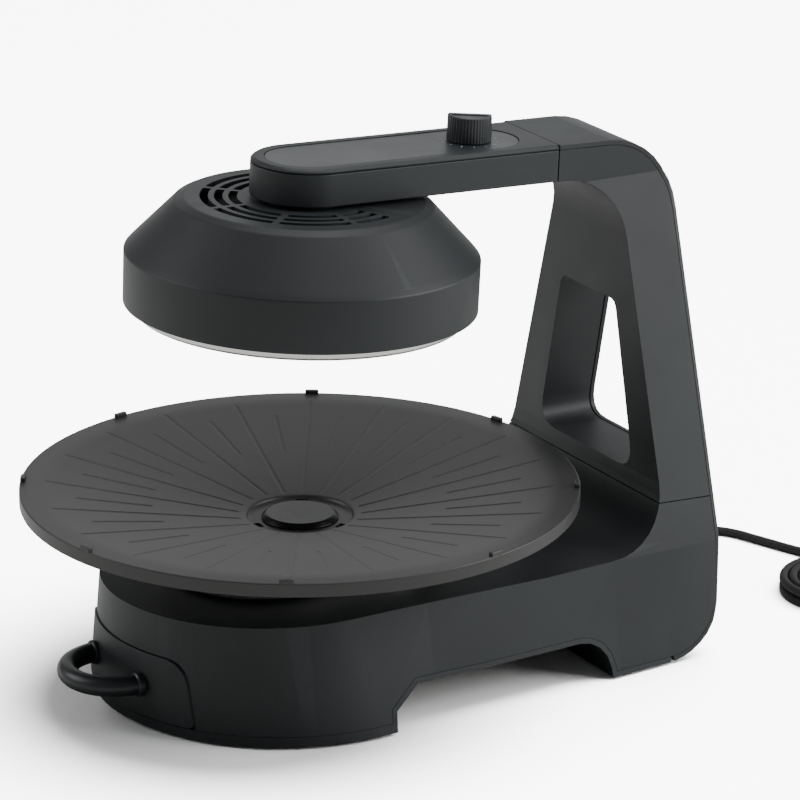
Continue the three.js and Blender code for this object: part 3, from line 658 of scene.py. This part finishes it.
@dataclass(frozen=True)
class MainsCord:
    """The mains cord: its route behind the grill, its coil and its plug."""

    radius: float = 3.0
    length: float = 1.46
    gland: tuple[float, float, float] = (-72.0, 291.4, 54.0)
    route: tuple[tuple[float, float, float], ...] = (
        (-72, 292, 54), (-72, 304, 53), (-72.5, 315, 48), (-73.5, 324, 39.5), (-75, 331.5, 29),
        (-77, 339, 18.5), (-79.5, 347.5, 9.5), (-81.5, 357, 4.6), (-81, 367, 3.1),
        (-76, 377, 3.1), (-66, 384.5, 3.1), (-52, 390, 3.1), (-38, 395, 3.1), (-24, 400, 3.1),
        (-10, 405.5, 3.1), (4, 411.3, 3.1), (16.4, 416.8, 3.1), (27.5, 423.4, 3.1),
    )
    coil_centre: tuple[float, float] = (59.0, 392.0)
    coil_start: float = 120.0
    # Turns made so far, radius and height: two layers of three turns lie on each other.
    stations: tuple[tuple[float, float, float], ...] = (
        (0.0, 42.8, 3.1), (0.75, 42.8, 3.1), (1.0, 36.4, 3.1), (1.75, 36.4, 3.1),
        (2.0, 30.0, 3.1), (2.5, 30.0, 3.1), (2.75, 30.0, 9.3), (3.25, 30.0, 9.3),
        (3.5, 36.4, 9.3), (4.25, 36.4, 9.3), (4.5, 42.8, 9.3), (5.0833, 42.8, 9.3),
    )
    lead: tuple[tuple[float, float, float], ...] = (
        (71, 434.8, 9.3), (83.5, 434.8, 9), (89, 434.8, 8.2), (95, 434.8, 7.5),
        (101, 434.8, 7.5), (107, 434.8, 8.2), (113.6, 434.8, 8.5),
    )

    def coil(self, per_turn: int = 20) -> list[tuple[float, float, float]]:
        """Returns the coil's points, clockwise from its start."""
        points = []
        last = self.stations[-1][0]
        count = round(last * per_turn)
        for i in range(count + 1):
            turns = last * i / count
            after = next(k for k, s in enumerate(self.stations) if s[0] >= turns - 1e-9)
            before, here = self.stations[max(after - 1, 0)], self.stations[after]
            span = here[0] - before[0]
            t = (turns - before[0]) / span if span else 0.0
            t = t * t * (3 - 2 * t)
            radius = before[1] + (here[1] - before[1]) * t
            height = before[2] + (here[2] - before[2]) * t
            angle = math.radians(self.coil_start) - math.tau * turns
            x, y = self.coil_centre
            points.append((x + radius * math.cos(angle), y + radius * math.sin(angle), height))
        return points

    def make(self) -> None:
        """Lays the cord and puts its relief and plug on it."""
        relief = self.make_relief()
        plug = refined("plug_body", "mains_plug", Look.RUBBER, Edging(1.4, 25, 4))
        data = bpy.data.curves.new("mains_cord", "CURVE")
        data.dimensions = "3D"
        data.bevel_depth = self.radius * MM
        data.bevel_resolution = 5
        data.use_fill_caps = True
        data.resolution_u = 4
        points = [*self.route, *self.coil(), *self.lead]
        spline = data.splines.new("BEZIER")
        spline.bezier_points.add(len(points) - 1)
        for knot, point in zip(spline.bezier_points, points):
            knot.co = TABLE @ Vector(point)
            knot.handle_left_type = knot.handle_right_type = "AUTO"
        data.materials.append(Look.RUBBER.material())
        cord = bpy.data.objects.new("mains_cord", data)
        bpy.context.scene.collection.objects.link(cord)
        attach(cord, "root")
        Look.RUBBER.slot
        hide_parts("cord_tube", "cord_lead", "cord_coil")
        log.info("mains_cord: %d points", len(points))

    def make_relief(self) -> bpy.types.Object:
        """Moulds the ribbed, tapered strain relief round the cord."""
        outside: list[tuple[float, float, float]] = [(0, 0, 0), (3.7, 0, 0)]
        for ring in range(7):
            start = 1.2 + ring * 3.8
            swell = 4.0 + ring * 0.31
            outside += [
                (swell, start, 0.3), (swell + 0.2, start + 2.4, 0.3),
                (swell - 0.7, start + 2.7, 0.2), (swell - 0.6, start + 3.5, 0.2),
            ]
        outside += [(6, 28.4, 0), (6, 30.9, 0), (9, 30.9, 0.6), (9, 33.6, 0.6), (6, 33.6, 0)]
        outside += [(6, 40.6, 0), (0, 40.6, 0)]
        x, y, z = self.gland
        way = Matrix.Translation((x, y, z)) @ turned(90, "X")
        return finished(
            spun(filleted(outside, 3), 40), "cord_relief", Look.RUBBER, "root", TABLE @ way,
            ("strain_relief",), Edging(0, 40),
        )


# ---- Grill plate -----------------------------------------------------------------------------


@dataclass(frozen=True)
class GrillPlate:
    """The round cast plate with radial grooves that turns under the heater."""

    radius: float = 180.0
    rim: float = 130.4
    skirt: float = 8.9
    hub: tuple[float, float] = (36.5, 109.4)
    flat_from: float = 165.0
    wall: float = 2.8
    well_floor: float = 106.6
    well_rise: float = 1.6
    tab_first: float = 13.7
    tabs: int = 8
    tab_half: float = 4.5
    tab_depth: float = 3.6
    tab_root: float = 2.0
    tab_rise: float = 2.6
    rim_drop: float = 0.5
    groove_first: float = 148.9
    grooves: int = 20
    long_groove: tuple[float, float] = (36.0, 166.0)
    short_groove: tuple[float, float] = (92.0, 146.0)
    groove_radius: float = 3.0
    groove_lift: float = 2.55
    notch_turn: float = 59.6
    notch_half: float = 4.2

    @property
    def slope(self) -> float:
        """How much the plate rises for each millimetre outward."""
        return (self.rim - self.rim_drop - self.hub[1]) / (self.flat_from - self.hub[0])

    def groove(self, start: float, end: float) -> bmesh.types.BMesh:
        """Makes the round-ended bar that cuts one groove along X."""
        reach = self.groove_radius
        half = (end - start) / 2 - reach
        arc = [(reach * math.sin(a), reach * math.cos(a)) for a in
               (math.radians(18 * k) for k in range(6))]
        profile = [(max(r, 0.0), half + z) for r, z in arc]
        profile += [(r, -z) for r, z in reversed(profile)]
        middle = (start + end) / 2
        height = self.hub[1] + self.slope * (middle - self.hub[0]) + self.groove_lift
        lie = turned(90 - math.degrees(math.atan(self.slope)), "Y")
        return moved(spun(profile, 12), Matrix.Translation((middle, 0, height)) @ lie)

    def make(self) -> None:
        """Casts the plate, cuts its grooves and notches, and adds its cap."""
        r, top, floor = self.radius, self.rim, self.well_floor
        hub_r, hub_z = self.hub
        middle = floor + self.well_rise
        disc = spun(filleted([
            (0, middle, 0), (19.4, middle, 0.7), (20.8, floor + 0.2, 0.6),
            (32.2, floor, 0.9), (33.7, floor + 0.9, 0.5), (hub_r - 1.6, hub_z - 0.4, 0.6),
            (hub_r, hub_z, 1.0), (self.flat_from, top - self.rim_drop, 6.0), (r, top, 1.0),
            (r, top - self.skirt, 0.6), (r - 2.4, top - self.skirt, 0.6),
            (r - 3, top - self.wall - 0.6, 1.5),
            (self.flat_from, top - self.rim_drop - self.wall, 4.0),
            (hub_r + 1, hub_z - self.wall, 1.5), (36.1, floor - self.wall, 0.8),
            (18, floor - self.wall, 0.6), (16.6, middle - self.wall, 0.6),
            (0, middle - self.wall, 0),
        ]), 192)
        tab = [
            moved(
                block((r - self.tab_depth, -self.tab_half, top - self.tab_root),
                      (r - 0.2, self.tab_half, top + self.tab_rise), 0.8),
                turned(self.tab_first + 360 / self.tabs * i),
            )
            for i in range(self.tabs)
        ]
        plate = combined(disc, gathered(tab), Join.WELD)
        step = 360 / self.grooves
        tools = []
        for i in range(self.grooves):
            turn = self.groove_first + step * i
            tools.append(moved(self.groove(*self.long_groove), turned(turn)))
            tools.append(moved(self.groove(*self.short_groove), turned(turn + step / 2)))
        plate = combined(plate, gathered(tools))
        notches = [
            moved(block((28, -self.notch_half, 98), (32.9, self.notch_half, floor + 3), 1.0),
                  turned(self.notch_turn + spot))
            for spot in (90, 210, 330)
        ]
        plate = combined(plate, gathered(notches))
        finished(
            plate, "cooking_plate", Look.PLATE_COATING, "plate", TABLE, ("grill_plate",),
            Edging(0.25, 35, 2),
        )
        cap = spun(filleted([
            (0, middle + 0.3, 0), (19.8, middle + 0.3, 0.6), (21.4, floor + 0.8, 0.5),
            (24.6, floor + 0.3, 0), (25, floor + 1.1, 0.4), (22.6, floor + 3.1, 0.6),
            (21.6, floor + 3.7, 0.5), (0, floor + 3.7, 0),
        ]), 120)
        finished(cap, "hub_cap", Look.CAP_ENAMEL, "plate", TABLE, ("plate_cap",), Edging(0, 40))


# ---- Heater head -----------------------------------------------------------------------------


@dataclass(frozen=True)
class HeaterHead:
    """The round heater hood with its vents, mouth ring and heater."""

    vents: tuple[tuple[float, float], ...] = ((60.6, 66.0), (51.5, 56.9), (42.4, 47.8))
    vent_end: float = 63.0
    bridge: float = 1.8
    ring_radius: float = 104.5
    ring_low: float = -59.2

    def slot(self, inner: float, outer: float, start: float, stop: float) -> bmesh.types.BMesh:
        """Makes the curved bar that cuts one vent slot."""
        shape = bmesh.new()
        corners = [(inner, -2.0), (outer, -2.0), (outer, 30.0), (inner, 30.0)]
        points = [shape.verts.new((r, 0.0, z)) for r, z in corners]
        edges = [shape.edges.new(pair) for pair in zip(points, points[1:] + points[:1])]
        bmesh.ops.spin(
            shape, geom=points + edges, cent=(0, 0, 0), axis=(0, 0, 1), dvec=(0, 0, 0),
            angle=math.radians(stop - start), steps=max(3, round((stop - start) / 2.5)),
            use_merge=False,
        )
        open_edges = [edge for edge in shape.edges if edge.is_boundary]
        bmesh.ops.holes_fill(shape, edges=open_edges, sides=0)
        bmesh.ops.recalc_face_normals(shape, faces=shape.faces)
        upright = [
            edge for edge in shape.edges
            if abs(edge.verts[0].co.z - edge.verts[1].co.z) > 20 and edge.calc_face_angle(0) > 1
        ]
        bmesh.ops.bevel(
            shape, geom=upright, offset=1.2, offset_type="OFFSET", segments=3, profile=0.5,
            affect="EDGES", clamp_overlap=True, material=-1,
        )
        return moved(shape, turned(start))

    def make(self) -> None:
        """Moulds the hood, rolls its ring and dresses what is inside."""
        hood = spun(filleted([
            (0, 15.6, 0), (76.5, 15.6, 1.2), (82.1, 13.0, 0.9), (110.0, -16.2, 0.8),
            (113.0, -19.6, 0.9), (112.7, -53.1, 0.5), (110.3, -53.1, 0.5), (110.5, -20.6, 2),
            (108.1, -17.6, 2), (80.6, 10.9, 2.4), (75.8, 13.2, 2.4), (0, 13.2, 0),
        ]), 192)
        tools = []
        ends = [self.vent_end, 90, 135, 180, 225, 270, 360 - self.vent_end]
        for inner, outer in self.vents:
            gap = self.bridge * 60 / outer
            tools += [
                self.slot(inner, outer, 90 + start + gap, 90 + stop - gap)
                for start, stop in zip(ends, ends[1:])
            ]
        hood = combined(hood, gathered(tools))
        hole = spun([(0, 0), (9, 0), (9, 40), (0, 40)], 48)
        hood = combined(hood, hole)
        finished(
            hood, "heater_hood", Look.CASING_ABS, "root", ARM, ("head_shell",),
            Edging(0.45, 35, 2),
        )
        r, low = self.ring_radius, self.ring_low
        ring = spun(filleted([
            (r, low, 0.3), (r + 1.2, low + 1.5, 0.5), (r + 2.4, -47.1, 0.4),
            (r + 1.4, -47.1, 0.4), (r + 0.2, low + 2.0, 0.5), (r - 4.4, low + 1.2, 0.4),
            (r - 4.4, low, 0.2),
        ], 3), 160)
        finished(ring, "mouth_ring", Look.STAINLESS, "root", ARM, ("head_ring",), Edging(0, 40))
        refined("head_neck", "neck_collar", Look.CASING_ABS, Edging(0.6, 30, 2))
        refined("reflector", "heat_reflector", Look.STAINLESS, Edging(0.2, 40, 2))
        refined("heater_tube", "quartz_heater", Look.RUBY_QUARTZ, Edging(0, 50))
        refined("heater_guard", "wire_guard", Look.ZINC, Edging(0.3, 40, 2))
        refined("heat_shield", "inner_shield", Look.DARK_STEEL, Edging(0.2, 40, 2))


# ---- Arm and timer ---------------------------------------------------------------------------


@dataclass(frozen=True)
class TimerKnob:
    """The fluted timer knob with its half-moon top, and the scale printed round it."""

    spot: tuple[float, float] = (0.0, 119.0)
    seat: float = 42.9
    radius: float = 14.5
    height: float = 16.5
    flutes: int = 44
    flute_depth: float = 0.35
    pointer: float = 60.0
    grip_half: float = 2.0
    grip_drop: float = 5.6
    ink_level: float = 42.22
    moon_radius: float = 12.4
    moon_depth: float = 0.5
    socket_radius: float = 3.3
    socket_roof: float = 8.0

    def fluted_column(self) -> bmesh.types.BMesh:
        """Moulds the fluted column, a little narrower toward its top."""
        shape = bmesh.new()
        made = bmesh.ops.create_circle(
            shape, cap_ends=True, segments=self.flutes * 6, radius=self.radius,
            matrix=Matrix.Translation((0, 0, self.seat)),
        )
        for vert in made["verts"]:
            turn = math.atan2(vert.co.y, vert.co.x) * self.flutes
            dip = self.flute_depth * (0.5 - 0.5 * math.cos(turn))
            vert.co.xy *= 1 - dip / self.radius
        lift = [(self.height - 1.3, 0.985), (0.9, 0.985), (0.4, 0.96)]
        faces = shape.faces[:]
        for level, (rise, shrink) in enumerate(lift):
            grown = bmesh.ops.extrude_face_region(shape, geom=faces)["geom"]
            if level > 0:  # the first face stays as the bottom, later ones would stay inside
                bmesh.ops.delete(shape, geom=faces, context="FACES_ONLY")
            rim = [item for item in grown if isinstance(item, bmesh.types.BMVert)]
            bmesh.ops.translate(shape, verts=rim, vec=(0, 0, rise))
            bmesh.ops.scale(shape, verts=rim, vec=(shrink, shrink, 1))
            faces = [item for item in grown if isinstance(item, bmesh.types.BMFace)]
        bmesh.ops.recalc_face_normals(shape, faces=shape.faces)
        return shape

    def make(self) -> None:
        """Moulds the knob and prints its scale."""
        top = self.seat + self.height
        behind = block((-20, self.grip_half, top - self.grip_drop), (20, 20, top + 5))
        wide, sunk = self.moon_radius, top - self.moon_depth
        moon = spun([(0, sunk), (wide, sunk), (wide, top + 2), (0, top + 2)], 64)
        bmesh.ops.bisect_plane(
            moon, geom=moon.verts[:] + moon.edges[:] + moon.faces[:],
            plane_co=(0, -self.grip_half, 0), plane_no=(0, 1, 0), clear_outer=True,
        )
        bmesh.ops.holes_fill(moon, edges=[e for e in moon.edges if e.is_boundary], sides=0)
        bmesh.ops.recalc_face_normals(moon, faces=moon.faces)
        bore, low, roof = self.socket_radius, self.seat - 1, top - self.socket_roof
        socket = spun([(0, low), (bore, low), (bore, roof), (0, roof)], 32)
        knob = self.fluted_column()
        for tool in (behind, moon, socket):
            knob = combined(knob, moved(tool, turned(self.pointer)))
        here = ARM @ Matrix.Translation((*self.spot, 0))
        finished(
            knob, "timer_knob", Look.KNOB_ABS, "knob", here, ("knob",), Edging(0.22, 30, 2)
        )
        self.print_scale(here)

    def print_scale(self, here: Matrix) -> None:
        """Prints the plain minute strokes on the inlay round the knob."""
        low, high = self.ink_level, self.ink_level + 0.06
        strokes = []
        for i in range(13):
            reach = 3.2 if i % 3 == 0 else 1.8
            stroke = block((17.2, -0.28, low), (17.2 + reach, 0.28, high))
            strokes.append(moved(stroke, turned(-120 + i * 25)))
        finished(gathered(strokes), "dial_strokes", Look.DIAL_INK, "root", here)


class Arm:
    """The arm that carries the heater head, with its control inlay."""

    def make(self) -> None:
        """Moulds the arm's two halves and lays the inlay."""
        refined("arm_lower_shell", "arm_underside", Look.CASING_ABS, Edging(0.7, 28, 3))
        refined("arm_top_cover", "arm_cover", Look.CASING_ABS, Edging(0.3, 28, 2))
        refined("control_inlay", "control_plate", Look.INLAY_SHEET, Edging(0.2, 30, 2))


# ---- Base, column and drawer -----------------------------------------------------------------


class Casing:
    """The moulded base and column, with the rubber feet."""

    def make(self) -> None:
        """Moulds the casing's shells and feet."""
        refined("base_shell", "base_casing", Look.CASING_ABS, Edging(0.9, 28, 3, levelled=False))
        refined("column_shell", "column_casing", Look.CASING_ABS, Edging(0.9, 28, 3))
        refined("back_cover", "rear_band", Look.CASING_ABS, Edging(0.8, 28, 3))
        refined("base_pan", "under_pan", Look.CASING_ABS, Edging(0.7, 28, 2))
        for number in range(1, 5):
            refined(f"foot_{number}", f"rubber_foot_{number}", Look.RUBBER, Edging(0.3, 30, 2))


@dataclass(frozen=True)
class DripBowl:
    """The pressed steel bowl that catches what runs off the plate."""

    radius: float = 62.0
    front: float = -29.0
    back: float = 26.0
    level: float = 77.6
    drain: tuple[float, float] = (0.0, -50.0)

    def ring(self, shape: bmesh.types.BMesh, radius: float, height: float) -> list:
        """Adds one level outline of the bowl, and returns its edges."""
        made = bmesh.ops.create_circle(
            shape, cap_ends=False, segments=96, radius=radius,
            matrix=Matrix.Translation((0, 0, height)),
        )["verts"]
        for vert in made:
            vert.co.y += self.back if vert.co.y > 1e-6 else self.front
        return list({edge for vert in made for edge in vert.link_edges})

    def lofted(self, corners: Sequence[tuple[float, float, float]]) -> bmesh.types.BMesh:
        """Makes one closed solid through level outlines of the bowl, from the bottom up.

        Args:
            corners: Each outline's radius, its height and its fillet's reach.

        Returns:
            The solid.
        """
        shape = bmesh.new()
        rings = [self.ring(shape, *level) for level in filleted(corners, 4)]
        for first, second in zip(rings, rings[1:]):
            bmesh.ops.bridge_loops(shape, edges=first + second)
        bmesh.ops.holes_fill(shape, edges=[e for e in shape.edges if e.is_boundary], sides=0)
        bmesh.ops.recalc_face_normals(shape, faces=shape.faces)
        return shape

    def make(self) -> None:
        """Presses the bowl, with its rolled rim, collar and drain."""
        r, low = self.radius, self.level
        outside = self.lofted([
            (r - 8, low, 0), (r - 5, low, 1.6), (r - 0.6, low + 1.6, 2), (r + 1.5, low + 11.8, 1),
            (r + 4, low + 13, 0.5), (r + 4, low + 14.2, 0),
        ])
        inside = self.lofted([
            (r - 8, low + 1.2, 0), (r - 5.5, low + 1.2, 1.6), (r - 2.0, low + 3, 2),
            (r + 0.6, low + 18, 0),
        ])
        shape = combined(outside, inside)
        x, y = self.drain
        spout = moved(spun([(0, low - 8.3), (12, low - 8.3), (12, low + 0.6), (0, low + 0.6)], 48),
                      Matrix.Translation((x, y, 0)))
        collar = spun([(0, low + 0.2), (12, low + 0.2), (12, low + 10), (0, low + 10)], 48)
        for tool in (spout, collar):
            shape = combined(shape, tool, Join.WELD)
        for spot in ((x, y, 0), (0, 0, 0)):
            hole = spun([(0, low - 20), (10, low - 20), (10, low + 20), (0, low + 20)], 48)
            shape = combined(shape, moved(hole, Matrix.Translation(spot)))
        finished(
            shape, "drip_dish", Look.STAINLESS, "root", TABLE, ("drip_bowl",),
            Edging(0.25, 40, 2),
        )


@dataclass(frozen=True)
class GreaseDrawer:
    """The grease drawer at the front, with its round loop handle."""

    loop: float = 31.0
    tube: float = 6.5
    height: float = 29.0
    root: float = -133.6
    sides: int = 28

    def make(self) -> None:
        """Moulds the drawer's front and tray, and bends its handle."""
        refined("drawer_front", "drawer_panel", Look.CASING_ABS, Edging(0.7, 30, 3))
        refined("drawer_tray", "grease_tray", Look.CASING_ABS, Edging(0.5, 30, 2))
        shape = bmesh.new()
        start = Matrix.Translation((-self.loop, self.root, self.height)) @ turned(90, "X")
        ring = bmesh.ops.create_circle(
            shape, cap_ends=False, segments=self.sides, radius=self.tube, matrix=start
        )["verts"]
        edges = list({edge for vert in ring for edge in vert.link_edges})
        bmesh.ops.spin(
            shape, geom=ring + edges, cent=(0, self.root, self.height), axis=(0, 0, 1),
            dvec=(0, 0, 0), angle=math.pi, steps=48, use_merge=False,
        )
        rims = [edge for edge in shape.edges if edge.is_boundary]
        grown = bmesh.ops.extrude_edge_only(shape, edges=rims)["geom"]
        tips = [item for item in grown if isinstance(item, bmesh.types.BMVert)]
        bmesh.ops.translate(shape, verts=tips, vec=(0, 2.4, 0))
        bmesh.ops.holes_fill(shape, edges=[e for e in shape.edges if e.is_boundary], sides=0)
        bmesh.ops.recalc_face_normals(shape, faces=shape.faces)
        for side in (-self.loop, self.loop):
            collar = spun(filleted([
                (0, 0, 0), (self.tube + 1.5, 0, 0.1), (self.tube + 1.5, 2.6, 0.9),
                (self.tube + 0.3, 3.6, 0.4), (0, 3.6, 0),
            ], 4), 48)
            way = Matrix.Translation((side, self.root + 1.0, self.height)) @ turned(90, "X")
            shape = combined(shape, moved(collar, way), Join.WELD)
        finished(
            shape, "drawer_loop", Look.KNOB_ABS, "drawer", TABLE, ("drawer_handle",),
            Edging(0, 40),
        )


# ---- Carried-over nodes ----------------------------------------------------------------------

CARRIED = {
    Look.ZINC: (
        "pan_screw_1", "pan_screw_2", "pan_screw_3", "pan_screw_4", "column_bracket", "motor",
        "motor_screw_1", "motor_screw_2", "spindle", "handle_screw_1", "handle_screw_2",
        "arm_bracket", "knob_shaft",
    ),
    Look.STEATITE: ("terminal_block", "timer_body", "heater_cap_1", "heater_cap_2"),
    Look.CASING_ABS: ("drive_hub",),
    Look.BRASS: ("plug_blade_1", "plug_blade_2"),
}


def dress_carried_nodes() -> None:
    """Gives the CAD nodes that stay in view their real finishes."""
    for look, nodes in CARRIED.items():
        for node in nodes:
            for slot in frame["nodes"][node].material_slots:
                slot.material = look.material()
            log.info("%s: CAD node in %s", node, look.name.lower())


def main() -> None:
    """Builds the whole grill, from its cord to its stage."""
    logging.basicConfig(level=logging.INFO, format="%(name)s: %(message)s")
    studio = Studio()
    studio.make_camera()
    for assembly in (
        MainsCord(), Casing(), DripBowl(), GreaseDrawer(), GrillPlate(), Arm(), TimerKnob(),
        HeaterHead(),
    ):
        assembly.make()
    dress_carried_nodes()
    studio.make_room()
    studio.make_lights(studio.make_floor())


if __name__ == "__main__":
    main()
